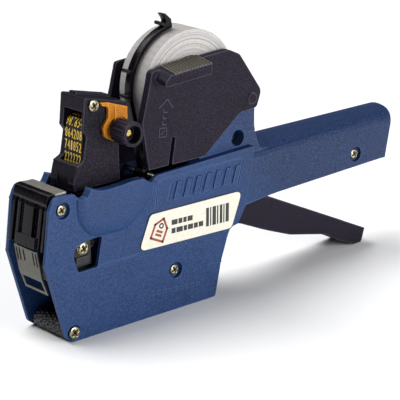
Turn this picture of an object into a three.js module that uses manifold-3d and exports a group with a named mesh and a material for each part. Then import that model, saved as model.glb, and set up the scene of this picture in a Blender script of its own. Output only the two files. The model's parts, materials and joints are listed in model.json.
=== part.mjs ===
// Price labeling gun: a one-line hand labeler with a label roll on top, a print head that stamps each
// label, and a long trigger under the handle.
//
// Frame: millimetres, +Z up, +X towards the handle, -X towards the nose, -Y the gun's left side.
// The origin is the middle of the flat base that the gun stands on. The two housing shells meet at y = 0.

import * as THREE from 'three';
import { mergeVertices } from 'three/addons/utils/BufferGeometryUtils.js';
import Module from 'manifold-3d';

const wasm = await Module();
wasm.setup();

// ---------- driving dimensions ----------

const GAP = 0.3;                  // gap between pieces that touch
const HALF_WIDTH = 17;            // housing, from the parting plane to a side face
const WALL = 2.4;                 // housing wall
const INNER = HALF_WIDTH - WALL;  // parting plane to the inside of a side wall
const SPLIT = 0.15;               // half of the gap between the two shells

const HANDLE_START = 60;          // where the handle grows out of the body
const HANDLE_END = 184.2;
const HANDLE_FRONT_HALF = 15.4;   // half width of the handle at its start
const HANDLE_REAR_HALF = 11.5;    // half width of the handle at its end
const HANDLE_TOP = 76.3;
const HANDLE_SHOULDER = 66.6;     // height where the handle's flat side turns into its crown

const TOWER_HALF_WIDTH = 12.8;    // the housing's upright behind the label roll
const TOWER_WALL = 2.2;

const TRIGGER_HALF_WIDTH = 9.6;
const TRIGGER_SLOT_HALF = 10.3;
const TRIGGER_PIVOT = [56, 46];

const HEAD_PIVOT = [48, 66];
const HEAD_HALF_WIDTH = 9.8;
const ARM_INSIDE = 10.3;          // inner face of the print head's side arms
const ARM_OUTSIDE = 12.5;

const KNOB_AXIS = [-10.6, 101];
const KNOB_RADIUS = 6.3;
const KNOB_NEAR = -24.6;
const KNOB_FAR = -12.8;

const BAND_COUNT = 6;
const BAND_PITCH = 2.3;
const BAND_WIDTH = 1.9;
const BAND_MIDDLE = -0.9;         // y of the middle of the row of bands
const BAND_TOP_RADIUS = 4.4;
const BAND_TIP_RADIUS = 2.4;
const BAND_SHAFT = [-24, 103.4];
const BAND_TIP = [-30.4, 55.6];
const BAND_THICKNESS = 0.9;

const ROLL_AXIS = [37.4, 113.4];
const ROLL_RADIUS = 29.8;
const ROLL_HALF_WIDTH = 9.8;
const CORE_OUTER = 16;
const CORE_INNER = 14.6;

const PLATE_INSIDE = 13.2;        // the two plates beside the label roll
const PLATE_OUTSIDE = 15.5;
const COVER_PIVOT = [74, 102];
const TAB_OUTSIDE = 24;
const TAB_TOP = 127.3;
const TAB_HINGE = [8.6, 127.3];
const TAB_LEAN = 10;
const TAB_RISE = 3.3;

const ARM_PIVOT = [13.5, 71];     // tension arm
const APPLICATOR_AXIS = [-45.6, 5];
const APPLICATOR_RADIUS = 4.7;
const FEED_AXIS = [2, 21];
const FEED_RADIUS = 11;
const FEED_TEETH = 16;
const INK_PIVOT = [-3.5, 60.7];
const INK_ROLLER = [-28.5, 45.8];
const COVER_HINGE = [40, 3.6];    // base cover

const SIDE_SCREWS = { nose: [-49.3, 69], body: [19.9, 21.3], handle: [153.5, 54.5] };
const TOWER_SCREW = [66.7, 81.4];
const RECESS_RADIUS = 4.25;
const RECESS_DEPTH = 2.6;
const SHANK_RADIUS = 1.4;
const SHANK_END = 8.8;            // y of a long screw's tip, in the right shell's boss
const HEAD_RADIUS = 2.6;

// ---------- materials ----------

function material(color, roughness, metalness = 0) {
  return new THREE.MeshStandardMaterial({ color, roughness, metalness });
}

const blue = () => material(0x2b4d86, 0.45);
const black = () => material(0x2c2a30, 0.5);
const darkGrey = () => material(0x4a4a4e, 0.55);
const orange = () => material(0xe08a12, 0.4);
const steel = () => material(0xb9bab4, 0.3, 0.9);
const satinPlate = () => material(0x8b8c80, 0.38, 0.8);
const screwMetal = () => material(0xd8d4b0, 0.28, 0.9);
const bandRubber = () => material(0x17161a, 0.6);
const paper = () => material(0xf2f1ee, 0.8);
const card = () => material(0xb48a55, 0.85);
const labelFilm = () => material(0xfbfbf2, 0.35);
const felt = () => material(0x2a2440, 0.95);

// ---------- shape helpers ----------

// Closed outline through [u, v, radius] corners, each corner rounded to its radius.
function outline(corners) {
  const shape = new THREE.Shape();
  corners.forEach(([u, v, radius = 0], index) => {
    const [beforeU, beforeV] = corners[(index + corners.length - 1) % corners.length];
    const [afterU, afterV] = corners[(index + 1) % corners.length];
    const point = new THREE.Vector2(u, v);
    const toBefore = new THREE.Vector2(beforeU - u, beforeV - v);
    const toAfter = new THREE.Vector2(afterU - u, afterV - v);
    const turn = toBefore.angleTo(toAfter);
    const room = 0.48 * Math.min(toBefore.length(), toAfter.length());
    const reach = Math.min(radius / Math.tan(turn / 2), room);
    const start = point.clone().addScaledVector(toBefore.normalize(), reach);
    const end = point.clone().addScaledVector(toAfter.normalize(), reach);
    if (index === 0) {
      shape.moveTo(start.x, start.y);
    } else {
      shape.lineTo(start.x, start.y);
    }
    if (reach > 0) {
      shape.quadraticCurveTo(point.x, point.y, end.x, end.y);
    }
  });
  shape.closePath();
  return shape;
}

// Outline in the X-Z plane, made solid from y = near to y = far.
function slab(shape, near, far, curveSegments = 3) {
  const geometry = new THREE.ExtrudeGeometry(shape, { depth: far - near, bevelEnabled: false, curveSegments });
  geometry.rotateX(Math.PI / 2);
  geometry.translate(0, far, 0);
  return toSolid(geometry);
}

// Outline in the Y-Z plane, made solid from x = start to x = end, its widths scaled at the far end.
function beam(shape, start, end, endScale, curveSegments = 7) {
  const depth = end - start;
  const geometry = new THREE.ExtrudeGeometry(shape, { depth, bevelEnabled: false, curveSegments });
  const corners = geometry.attributes.position;
  for (let index = 0; index < corners.count; index += 1) {
    const atEnd = corners.getZ(index) > depth / 2;
    corners.setX(index, corners.getX(index) * (atEnd ? endScale : 1));
  }
  const basis = new THREE.Matrix4().makeBasis(
    new THREE.Vector3(0, 1, 0),
    new THREE.Vector3(0, 0, 1),
    new THREE.Vector3(1, 0, 0),
  );
  geometry.applyMatrix4(basis);
  geometry.translate(start, 0, 0);
  return toSolid(geometry);
}

// Round bar along Y.
function rod(radius, near, far, [x, z], segments = 16) {
  const geometry = new THREE.CylinderGeometry(radius, radius, far - near, segments);
  geometry.translate(x, (near + far) / 2, z);
  return toSolid(geometry);
}

function block(x0, x1, y0, y1, z0, z1) {
  const geometry = new THREE.BoxGeometry(x1 - x0, y1 - y0, z1 - z0);
  geometry.translate((x0 + x1) / 2, (y0 + y1) / 2, (z0 + z1) / 2);
  return toSolid(geometry);
}

// Straight groove or rib of a given width between two X-Z points.
function strip([x0, z0], [x1, z1], width, near, far) {
  const length = Math.hypot(x1 - x0, z1 - z0);
  const geometry = new THREE.BoxGeometry(length, far - near, width);
  geometry.rotateY(-Math.atan2(z1 - z0, x1 - x0));
  geometry.translate((x0 + x1) / 2, (near + far) / 2, (z0 + z1) / 2);
  return toSolid(geometry);
}

function toSolid(geometry) {
  const bare = geometry.clone();
  bare.deleteAttribute('normal');
  bare.deleteAttribute('uv');
  const merged = mergeVertices(bare, 1e-4);
  const vertProperties = new Float32Array(merged.attributes.position.array);
  const triVerts = new Uint32Array(merged.index.array);
  return new wasm.Manifold(new wasm.Mesh({ numProp: 3, vertProperties, triVerts }));
}

function join(...solids) {
  return solids.reduce((whole, piece) => whole.add(piece));
}

function cut(whole, ...tools) {
  return tools.reduce((rest, tool) => rest.subtract(tool), whole);
}

function common(a, b) {
  return a.intersect(b);
}

// ---------- scene graph helpers ----------

const group = new THREE.Group();

function place(name, shape, look) {
  let geometry = shape;
  if (!shape.isBufferGeometry) {
    const mesh = shape.getMesh();
    geometry = new THREE.BufferGeometry();
    geometry.setAttribute('position', new THREE.BufferAttribute(mesh.vertProperties, 3));
    geometry.setIndex(new THREE.BufferAttribute(mesh.triVerts, 1));
    geometry.computeVertexNormals();
  }
  const piece = new THREE.Mesh(geometry, look);
  piece.name = name;
  group.add(piece);
  return piece;
}

// Ring about Y, from an inner to an outer radius.
function ring(inner, outer, halfWidth, segments) {
  const profile = [
    new THREE.Vector2(inner, -halfWidth),
    new THREE.Vector2(outer, -halfWidth),
    new THREE.Vector2(outer, halfWidth),
    new THREE.Vector2(inner, halfWidth),
    new THREE.Vector2(inner, -halfWidth),
  ];
  return new THREE.LatheGeometry(profile, segments);
}

// ---------- housing ----------

const BODY_OUTLINE = [
  [-46.5, 0, 4], [46.2, 0, 2], [50.6, 18.5, 12], [56.8, 35.3, 5], [62.6, 36.4, 3], [67.8, 44.8, 1],
  [75, 76.6, 1], [9.2, 74.6, 1], [6.2, 72.3, 1.5], [3.2, 72.5, 1.5], [-1.5, 75.7, 2], [-8.5, 76.1, 4],
  [-17.5, 75.2, 6], [-27.5, 75.1, 4], [-33.8, 77.4, 0.8], [-36.5, 73, 1], [-39.3, 73, 2],
  [-42.3, 75.9, 1.5], [-54.4, 76.9, 6], [-57.4, 70, 6], [-61.2, 43.2, 2.5], [-50.8, 3.4, 3.5],
];

const CAVITY_OUTLINE = [
  [-70, 2.4], [43.8, 2.4, 2], [48.2, 19, 12], [54.4, 36.6, 6], [61, 38.8, 3], [65.5, 46],
  [72.4, 76], [72.4, 100], [-70, 100],
];

const TOWER_OUTLINE = [
  [34, 70], [84, 70], [80.5, 77, 3], [78.4, 84, 6], [78.4, 94, 1.5], [79, 102, 4], [74, 107, 4.5],
  [67.5, 102, 4], [60, 94, 4],
];

const HANDLE_OUTLINE = [
  [HANDLE_START, 44], [86, 46.1, 1], [177.5, 47.8, 1.5], [HANDLE_END, HANDLE_TOP + 0.6, 4],
  [HANDLE_START, HANDLE_TOP + 0.6],
];

const WINDOW_OUTLINE = [
  [-35.8, 50.4, 2], [-26.2, 51, 0.6], [-29.8, 35.7, 0.6], [-41.4, 35.4, 0.6], [-44.4, 45, 2],
  [-42.3, 48.8, 2.5],
];

const BULGE_FACE_OUTLINE = [
  [-32.4, 90], [-32.6, 66, 5], [-29.6, 60.4, 5], [-13, 60, 8], [-5, 66, 6], [-1.6, 76], [-1.6, 90],
];

function handleSection(halfWidth, bottom, shoulder, top) {
  const section = new THREE.Shape();
  section.moveTo(-halfWidth, bottom);
  section.lineTo(halfWidth, bottom);
  section.lineTo(halfWidth, shoulder);
  section.absellipse(0, shoulder, halfWidth, top - shoulder, 0, Math.PI, false, 0);
  section.lineTo(-halfWidth, bottom);
  return section;
}

function handleHalfWidth(x) {
  const along = (x - HANDLE_START) / (HANDLE_END - HANDLE_START);
  return HANDLE_FRONT_HALF + (HANDLE_REAR_HALF - HANDLE_FRONT_HALF) * along;
}

// The handle's tapered section, pushed in by an inset all round.
function handleLoft(inset) {
  const past = HANDLE_END + 5;
  const front = HANDLE_FRONT_HALF - inset;
  const rear = handleHalfWidth(past) - inset;
  const section = handleSection(front, 40, HANDLE_SHOULDER, HANDLE_TOP - inset);
  return beam(section, HANDLE_START, past, rear / front);
}

function handleBody() {
  return common(handleLoft(0), slab(outline(HANDLE_OUTLINE), -HALF_WIDTH, HALF_WIDTH, 5));
}

function handleCavity() {
  const reach = outline([
    [HANDLE_START - 1, 48.5], [174.4, 50.3, 2], [179.8, HANDLE_TOP - 4, 4], [172, 90], [HANDLE_START - 1, 90],
  ]);
  return common(handleLoft(WALL), slab(reach, -HALF_WIDTH, HALF_WIDTH));
}

// The raised pillow on each side wall, under the print head.
function bulge() {
  const rise = 2.9;
  const geometry = new THREE.ExtrudeGeometry(outline(BULGE_FACE_OUTLINE), {
    depth: 2 * HALF_WIDTH,
    bevelThickness: rise,
    bevelSize: 9,
    bevelSegments: 4,
    curveSegments: 4,
  });
  geometry.rotateX(Math.PI / 2);
  geometry.translate(0, HALF_WIDTH, 0);
  const limit = outline([
    [-42, 50], [12, 50], [12, 72], [6.2, 72.3, 1.5], [3.2, 72.5, 1.5], [-1.5, 75.7, 2],
    [-8.5, 76.1, 4], [-17.5, 75.2, 6], [-27.5, 75.1, 4], [-33.8, 77.4, 0.8], [-36.5, 73, 1], [-42, 73],
  ]);
  return common(toSolid(geometry), slab(limit, -HALF_WIDTH - rise, HALF_WIDTH + rise));
}

// Half width of the housing's side face at a side screw.
function sideFace([x]) {
  return x > HANDLE_START ? handleHalfWidth(x) : HALF_WIDTH;
}

function screwBoss(spot, outer) {
  const reach = sideFace(spot) - WALL + 0.6;
  return rod(outer, -reach, reach, spot);
}

// Everything both shells share, before the split at y = 0.
function housingBody() {
  const body = slab(outline(BODY_OUTLINE), -HALF_WIDTH, HALF_WIDTH, 3);
  const tower = slab(outline(TOWER_OUTLINE), -TOWER_HALF_WIDTH, TOWER_HALF_WIDTH);
  const hollow = slab(outline(CAVITY_OUTLINE), -INNER, INNER);
  const towerInside = outline([[30, 60], [70, 60], [70, 76], [76.2, 84, 4], [76.2, 115], [30, 115]]);
  const towerHollow = slab(towerInside, TOWER_WALL - TOWER_HALF_WIDTH, TOWER_HALF_WIDTH - TOWER_WALL);
  let housing = join(body, bulge(), tower, handleBody());
  housing = cut(housing, common(hollow, block(-80, 72.4, -INNER, INNER, 0, 73)));
  housing = cut(housing, block(-44, 33, -INNER, INNER, 60, 130));
  housing = cut(housing, slab(outline([[30, 60], [71, 60], [60, 82], [30, 82]]), -10.6, 10.6));
  housing = cut(housing, towerHollow, handleCavity());
  housing = cut(housing, block(-80, -40, -INNER, INNER, 60, 130));
  const bosses = join(
    screwBoss(SIDE_SCREWS.nose, 5.2),
    screwBoss(SIDE_SCREWS.body, 5.6),
    screwBoss(SIDE_SCREWS.handle, 5.6),
    rod(5.4, -TOWER_HALF_WIDTH, TOWER_HALF_WIDTH, TOWER_SCREW),
    springShelf(),
  );
  return join(housing, bosses);
}

// Cross shelf that carries the foot of the trigger spring.
function springShelf() {
  return block(31, 45.6, -INNER - 0.5, INNER + 0.5, 10, 12);
}

function pinHoles() {
  const bore = (axis, radius) => rod(radius, -HALF_WIDTH + 0.9, HALF_WIDTH - 0.9, axis);
  return join(
    bore(TRIGGER_PIVOT, 2.3),
    bore(HEAD_PIVOT, 2.3),
    bore(INK_PIVOT, 1.8),
    bore(FEED_AXIS, 2.3),
    bore(ARM_PIVOT, 1.8),
    bore(COVER_HINGE, 1.5),
    bore(APPLICATOR_AXIS, 1.8),
    rod(1.8, -HALF_WIDTH, HALF_WIDTH, COVER_PIVOT),
  );
}

function openings() {
  const triggerSlot = outline([[44, 27], [70, 27], [147, 40], [147, 54], [62, 56], [44, 45]]);
  return join(
    slab(triggerSlot, -TRIGGER_SLOT_HALF, TRIGGER_SLOT_HALF),
    block(-39.5, 44.4, -12, 12, -5, 6.8),
    block(-70, -39, -12.8, 12.8, -5, 11),
  );
}

function screwPockets() {
  const tools = Object.values(SIDE_SCREWS).map((spot) => join(
    rod(RECESS_RADIUS, -HALF_WIDTH - 4, RECESS_DEPTH - sideFace(spot), spot),
    rod(SHANK_RADIUS + GAP, -HALF_WIDTH, SHANK_END + 0.5, spot),
  ));
  tools.push(rod(4.3, -HALF_WIDTH - 4, -5, TOWER_SCREW));
  tools.push(rod(SHANK_RADIUS + GAP, -HALF_WIDTH, SHANK_END + 0.5, TOWER_SCREW));
  tools.push(rod(3.8, -HALF_WIDTH - 4, -HALF_WIDTH + 1.2, APPLICATOR_AXIS));
  return join(...tools);
}

// Thin moulded lines on a side face: a panel seam by the window and the frame above the label.
function sideGrooves(face, depth) {
  const near = Math.min(face, face + depth);
  const far = Math.max(face, face + depth);
  const line = (start, end, width = 0.55) => strip(start, end, width, near, far);
  const seams = [
    line([-10.6, 52], [-16.2, 36]),
    line([-29.6, 35.9], [-3.4, 35.9]),
    line([10.6, 71.2], [65.6, 71.9]),
    line([66.6, 71.2], [62.4, 57.4]),
    line([9.6, 70.4], [7.6, 57.2]),
  ];
  const slantBars = 7;
  for (let bar = 0; bar < slantBars; bar += 1) {
    const foot = 16 + bar * 6.6;
    seams.push(line([foot, 59.6], [foot + 3, 68.6], 1.1));
  }
  return join(...seams);
}

function shells() {
  const whole = cut(housingBody(), pinHoles(), openings());
  const leftSide = block(-80, 200, -40, -SPLIT, -5, 140);
  const rightSide = block(-80, 200, SPLIT, 40, -5, 140);
  const window = slab(outline(WINDOW_OUTLINE), -HALF_WIDTH - 4, -INNER + 1);
  const leftTools = [screwPockets(), window, sideGrooves(-HALF_WIDTH - 0.01, 0.4)];
  const rightTools = [
    ...Object.values(SIDE_SCREWS).map((spot) => rod(SHANK_RADIUS + GAP, -1, SHANK_END + 0.5, spot)),
    rod(SHANK_RADIUS + GAP, -1, SHANK_END + 0.5, TOWER_SCREW),
    sideGrooves(HALF_WIDTH + 0.01, -0.4),
  ];
  place('left_shell', cut(common(whole, leftSide), ...leftTools), blue());
  place('right_shell', cut(common(whole, rightSide), ...rightTools), blue());
}

// A screw from the left side: a round head and a plain shank.
function screw(name, axis, headNear, headFar, shankFar, headRadius = HEAD_RADIUS) {
  const recess = 0.7;
  const slotHalf = 0.35;
  const armHalf = 1.4;
  const [x, z] = axis;
  const body = join(
    rod(headRadius, headNear, headFar, axis, 16),
    rod(SHANK_RADIUS, headFar - 0.5, shankFar, axis, 10),
  );
  const cross = join(
    block(x - armHalf, x + armHalf, headNear - 1, headNear + recess, z - slotHalf, z + slotHalf),
    block(x - slotHalf, x + slotHalf, headNear - 1, headNear + recess, z - armHalf, z + armHalf),
  );
  place(name, cut(body, cross), screwMetal());
}

function housingScrews() {
  for (const [where, axis] of Object.entries(SIDE_SCREWS)) {
    const seat = RECESS_DEPTH - GAP - sideFace(axis);
    screw(`${where}_screw`, axis, seat - 1.6, seat, SHANK_END);
  }
  screw('tower_screw', TOWER_SCREW, -6.9, -5 - GAP, SHANK_END);
  screw('roller_screw', APPLICATOR_AXIS, -HALF_WIDTH - 1.1, -HALF_WIDTH + 0.9, -HALF_WIDTH + 1.6, 3.1);
}

function sideLabels() {
  const shape = outline([[57.6, 35.4, 3], [65.2, 54.2, 3.2], [3.9, 54.9, 3.2], [-3.9, 37.2, 3]]);
  const film = 0.4;
  const near = -HALF_WIDTH - 0.05 - film;
  place('left_label', slab(shape, near, near + film, 6), labelFilm());
  place('right_label', slab(shape, -near - film, -near, 6), labelFilm());
}

// Pins that cross the housing and turn in its bored walls.
function crossPins() {
  const end = HALF_WIDTH - 1.2;
  place('trigger_pin', rod(2, -end, end, TRIGGER_PIVOT), steel());
  place('head_pin', rod(2, -end, end, HEAD_PIVOT), steel());
  place('feed_axle', rod(2, -end, end, FEED_AXIS), steel());
  place('ink_arm_pin', rod(1.5, -end, end, INK_PIVOT, 18), steel());
  place('tension_arm_pin', rod(1.5, -end, end, ARM_PIVOT, 18), steel());
  place('base_cover_pin', rod(1.2, -end, end, COVER_HINGE, 18), steel());
  place('roller_axle', rod(1.5, -HALF_WIDTH + 2, end, APPLICATOR_AXIS, 18), steel());
}

// ---------- nose ----------

function noseCover() {
  const back = [[-52.4, 75.8], [-54.6, 69.6], [-58.4, 49.4]];
  const sheet = (proud, near, far) => slab(outline([
    [-52.4 - proud, 75.8, 2.5], [-54.8 - proud, 69.4, 3], [-58.4 - proud, 49.4],
    ...back.slice().reverse().map(([x, z]) => [x + 1.6, z]),
  ]), near, far);
  return join(
    sheet(0.2, -13.9, 13.9),
    sheet(2.3, -3.6, 4.2),
    sheet(1.5, -9.6, -7),
    sheet(2.2, -13.9, -12.2),
    sheet(1.5, 8, 10.4),
    sheet(2.2, 12.2, 13.9),
    slab(outline([[-60.2, 55], [-56, 55], [-57, 49.4], [-61, 49.4]]), -7.6, 8.6),
    slab(outline([[-51.8, 74], [-51.8, 77.8, 0.8], [-55.6, 77.6, 2.6], [-57.3, 72, 2], [-54, 70]]), -13.9, 13.9, 5),
  );
}

function peelPlate() {
  const front = [[-60.8, 48.4], [-58.6, 34.5], [-55, 24.6]];
  const sheet = outline([
    ...front,
    [-53.9, 25.1], [-57.5, 34.8, 4], [-59.7, 48.6],
  ]);
  let plate = slab(sheet, -9.6, 9.6);
  for (const y of [-8.1, -5.6, 2.2, 5.6, 8]) {
    plate = cut(plate, block(-63, -54, y - 0.55, y + 0.55, 41.5 - Math.abs(y) * 0.15, 47.4));
  }
  return cut(plate, block(-60, -50, -7.9, 7.9, 26.4, 32));
}

function nose() {
  const topPlate = outline([[-44.8, 76.2], [-44.8, 77.3], [-51.4, 77.3], [-51.4, 76.2]]);
  place('nose_top_plate', slab(topPlate, -13.9, 13.9), satinPlate());
  place('nose_cover', cut(noseCover(), rod(5.6, -14, 14, SIDE_SCREWS.nose)), black());
  place('peel_plate', peelPlate(), satinPlate());
  const anvil = outline([[-52, 30, 1], [-28, 30, 1], [-28, 37.8, 2], [-52, 37.8, 1]]);
  place('platen', slab(anvil, -9.4, 9.4), darkGrey());
}

function adjuster() {
  const body = join(
    block(-40.5, -32.5, -14.2, -10.2, 38.4, 41.8),
    block(-41.5, -30.5, -12.6, -10.2, 36.4, 48.4),
  );
  const axis = [-36.1, 46];
  place('adjuster_block', cut(body, rod(SHANK_RADIUS + GAP, -20, 0, axis, 14)), darkGrey());
  const washer = cut(rod(3.3, -13.5, -12.9, axis, 20), rod(SHANK_RADIUS + GAP, -20, 0, axis, 14));
  place('adjuster_washer', washer, screwMetal());
  screw('adjuster_screw', axis, -15.2, -13.8, -10.4, 2.9);
}

function applicator() {
  const roller = ring(1.8, APPLICATOR_RADIUS, 12.3, 20);
  const piece = place('applicator_roller', roller, black());
  piece.position.set(APPLICATOR_AXIS[0], 0, APPLICATOR_AXIS[1]);
}

// ---------- base cover and feed ----------

function baseCover() {
  const floor = block(-38, 37, -11.6, 11.6, 0, 2.2);
  const sides = join(
    block(-38, 35, -11.6, -9.8, 0, 5.6),
    block(-38, 35, 9.8, 11.6, 0, 5.6),
  );
  const knuckle = rod(3.2, -11.6, 11.6, [COVER_HINGE[0], COVER_HINGE[1]], 20);
  const bridge = block(33, 40, -11.6, 11.6, 0.4, 3.6);
  const grip = block(-38, -35.5, -8, 8, 0, 6.4);
  const whole = join(floor, sides, knuckle, bridge, grip);
  return cut(whole, rod(1.5, -20, 20, COVER_HINGE, 18));
}

function feedWheel() {
  const shape = new THREE.Shape();
  const root = FEED_RADIUS - 1.6;
  for (let tooth = 0; tooth < FEED_TEETH; tooth += 1) {
    const angle = (tooth / FEED_TEETH) * 2 * Math.PI;
    const step = (2 * Math.PI) / FEED_TEETH;
    if (tooth === 0) {
      shape.moveTo(root * Math.cos(angle), root * Math.sin(angle));
    } else {
      shape.lineTo(root * Math.cos(angle), root * Math.sin(angle));
    }
    const tip = angle + step * 0.55;
    shape.lineTo(root * Math.cos(tip), root * Math.sin(tip));
    shape.lineTo(FEED_RADIUS * Math.cos(tip), FEED_RADIUS * Math.sin(tip));
    shape.lineTo(FEED_RADIUS * Math.cos(tip + step * 0.2), FEED_RADIUS * Math.sin(tip + step * 0.2));
  }
  shape.closePath();
  const drum = join(slab(shape, -2.5, 2.5), rod(root - 1, -7.5, 7.5, [0, 0]));
  return cut(drum, rod(2.3, -10, 10, [0, 0]));
}

function feed() {
  const [x, z] = FEED_AXIS;
  const wheel = place('feed_wheel', feedWheel(), darkGrey());
  wheel.position.set(x, 0, z);
  const arm = outline([[-4.4, -3, 4], [4.4, -3, 4], [8, 17, 2.5], [3.2, 18, 2.5]]);
  const lever = cut(join(slab(arm, 8, 9.6), rod(4.4, 8, 9.6, [0, 0])), rod(2.3, 0, 20, [0, 0]));
  const piece = place('feed_lever', lever, darkGrey());
  piece.position.set(x, 0, z);
}

// ---------- trigger ----------

function triggerBody() {
  const skin = outline([
    [33, 36.4, 1], [52, 37.4, 4], [71, 32.6, 6], [88.1, 25, 14], [106.4, 17.9, 20], [134.8, 11.4, 8],
    [142.6, 6.2, 6], [155.4, 0.6, 4], [161.4, 0.5, 2.2], [164, 8.4, 1], [92.6, 42.5, 4],
    [80, 46, 8], [64, 52, 6], [50, 52.6, 5], [44, 43, 4], [33, 41.4, 1.5],
  ]);
  const channel = outline([
    [66, 60], [66, 38.2, 2], [88.8, 27.9, 12], [107, 20.8, 14], [135.8, 14.1, 6], [143.6, 9, 4],
    [159.6, 3.1, 1], [161, 7], [168, 10.4], [168, 60],
  ]);
  const whole = slab(skin, -TRIGGER_HALF_WIDTH, TRIGGER_HALF_WIDTH, 4);
  const ribs = [95, 118].map((x) => block(x, x + 1.6, -9, 9, 0, 50));
  const hollow = cut(slab(channel, 2.2 - TRIGGER_HALF_WIDTH, TRIGGER_HALF_WIDTH - 2.2, 3), ...ribs);
  return cut(whole, hollow, rod(2.3, -20, 20, TRIGGER_PIVOT));
}

function coilSpring(radius, wire, turns, height) {
  class Helix extends THREE.Curve {
    getPoint(t, target = new THREE.Vector3()) {
      const angle = 2 * Math.PI * turns * t;
      return target.set(radius * Math.cos(angle), radius * Math.sin(angle), height * t);
    }
  }
  const section = new THREE.Shape();
  section.absarc(0, 0, wire, 0, 2 * Math.PI, false);
  const options = { steps: turns * 10, curveSegments: 3, bevelEnabled: false, extrudePath: new Helix() };
  return new THREE.ExtrudeGeometry(section, options);
}

function trigger() {
  place('trigger', triggerBody(), black());
  const foot = 13;
  const spring = place('trigger_spring', coilSpring(3.6, 0.6, 6, 22.2), steel());
  spring.position.set(38, 0, foot);
}

// ---------- print head ----------

function headCover() {
  const side = outline([
    [-28.7, 119.9, 1.2], [-30.5, 103.6, 0.8], [-28.4, 100.4, 0.8], [-30.8, 88.4, 0.8], [-34.9, 86.4, 1],
    [-37.3, 78, 1], [-36.8, 74.3], [-8.8, 74.3], [-8.8, 98], [-3.2, 98], [-3.2, 113.6, 1],
  ]);
  const shell = slab(side, -HEAD_HALF_WIDTH, HEAD_HALF_WIDTH);
  const bandRoom = outline([[-40, 87.4], [-17.8, 87.4], [-17.8, 108.4], [-22.6, 112.4], [-40, 113.2]]);
  const room = slab(bandRoom, BAND_MIDDLE - 7.4, BAND_MIDDLE + 7.4);
  const below = outline([[-34.4, 70], [-17.2, 70], [-17.2, 95], [-33, 95], [-33.4, 86]]);
  const lowerRoom = slab(below, BAND_MIDDLE - 7.4, BAND_MIDDLE + 7.4);
  const ridges = [1.6, 4, 6.4].map((y) => strip([-25.4, 119.2], [-5, 114.3], 2.2, y, y + 1.2));
  const scoop = block(-50, -36.2, -5, 4.4, 70, 82.5);
  const shaftBore = rod(2.1, -20, 20, KNOB_AXIS, 18);
  const bandShaftBore = rod(1.8, -8.6, 7.6, BAND_SHAFT, 18);
  return cut(join(shell, ...ridges), room, lowerRoom, scoop, shaftBore, bandShaftBore);
}

function headFrame() {
  const arm = outline([
    [-34, 62, 2], [40, 60.4, 3], [53, 60.6, 5], [53, 71.4, 5], [40, 71, 4], [28, 67.8, 4],
    [10, 67.2, 3], [4.4, 73.7, 2], [-34, 73.7, 2],
  ]);
  const arms = join(slab(arm, -ARM_OUTSIDE, -ARM_INSIDE), slab(arm, ARM_INSIDE, ARM_OUTSIDE));
  const yoke = block(-36, -12, -ARM_OUTSIDE, ARM_OUTSIDE, 66.4, 73.7);
  const tunnel = block(-34.6, -17, BAND_MIDDLE - 7.4, BAND_MIDDLE + 7.4, 60, 80);
  const shoeCheeks = outline([[-34.8, 70], [-34, 55.4, 1], [-32.2, 53.8, 1], [-24, 53.8, 1], [-20, 62], [-20, 70]]);
  const cheeks = join(slab(shoeCheeks, -10, -8.6), slab(shoeCheeks, 6.8, 8.2));
  const bore = rod(2.3, -20, 20, HEAD_PIVOT);
  const pinTravel = 8.8;
  const [inkX, inkZ] = INK_PIVOT;
  const inkSlot = strip([inkX, inkZ - 4], [inkX - 0.2, inkZ + pinTravel + 1.6], 4.8, -20, 20);
  return cut(join(arms, yoke, cheeks), tunnel, bore, inkSlot);
}

// One endless type band: a racetrack loop round the band shaft and the tip of the print shoe.
function typeBand(index) {
  const [topX, topZ] = BAND_SHAFT;
  const [tipX, tipZ] = BAND_TIP;
  const loop = (grow) => {
    const shape = new THREE.Shape();
    const lean = Math.atan2(topX - tipX, topZ - tipZ);
    const top = BAND_TOP_RADIUS + grow;
    const tip = BAND_TIP_RADIUS + grow;
    shape.absarc(topX, topZ, top, -lean, Math.PI - lean, false);
    shape.absarc(tipX, tipZ, tip, Math.PI - lean, 2 * Math.PI - lean, false);
    shape.closePath();
    return shape;
  };
  const y = BAND_MIDDLE + (index - (BAND_COUNT - 1) / 2) * BAND_PITCH;
  const near = y - BAND_WIDTH / 2;
  const far = y + BAND_WIDTH / 2;
  return cut(slab(loop(BAND_THICKNESS), near, far, 5), slab(loop(0), near - 1, far + 1, 5));
}

function selectorKnob() {
  const shape = new THREE.Shape();
  const flutes = 14;
  for (let flute = 0; flute < flutes; flute += 1) {
    const angle = (flute / flutes) * 2 * Math.PI;
    const spread = Math.PI / flutes;
    const start = [KNOB_RADIUS * Math.cos(angle), KNOB_RADIUS * Math.sin(angle)];
    if (flute === 0) {
      shape.moveTo(...start);
    } else {
      shape.lineTo(...start);
    }
    shape.lineTo(KNOB_RADIUS * Math.cos(angle + spread), KNOB_RADIUS * Math.sin(angle + spread));
    const valley = angle + spread * 1.5;
    shape.lineTo((KNOB_RADIUS - 0.8) * Math.cos(valley), (KNOB_RADIUS - 0.8) * Math.sin(valley));
  }
  shape.closePath();
  const grip = slab(shape, KNOB_NEAR + 1.4, KNOB_FAR);
  const lip = rod(KNOB_RADIUS - 0.2, KNOB_NEAR, KNOB_NEAR + 1.6, [0, 0], 28);
  const mouth = rod(4.5, KNOB_NEAR - 1, KNOB_NEAR + 6, [0, 0], 24);
  return cut(join(grip, lip), mouth, rod(2, KNOB_NEAR - 1, KNOB_FAR + 1, [0, 0], 18));
}

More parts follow.
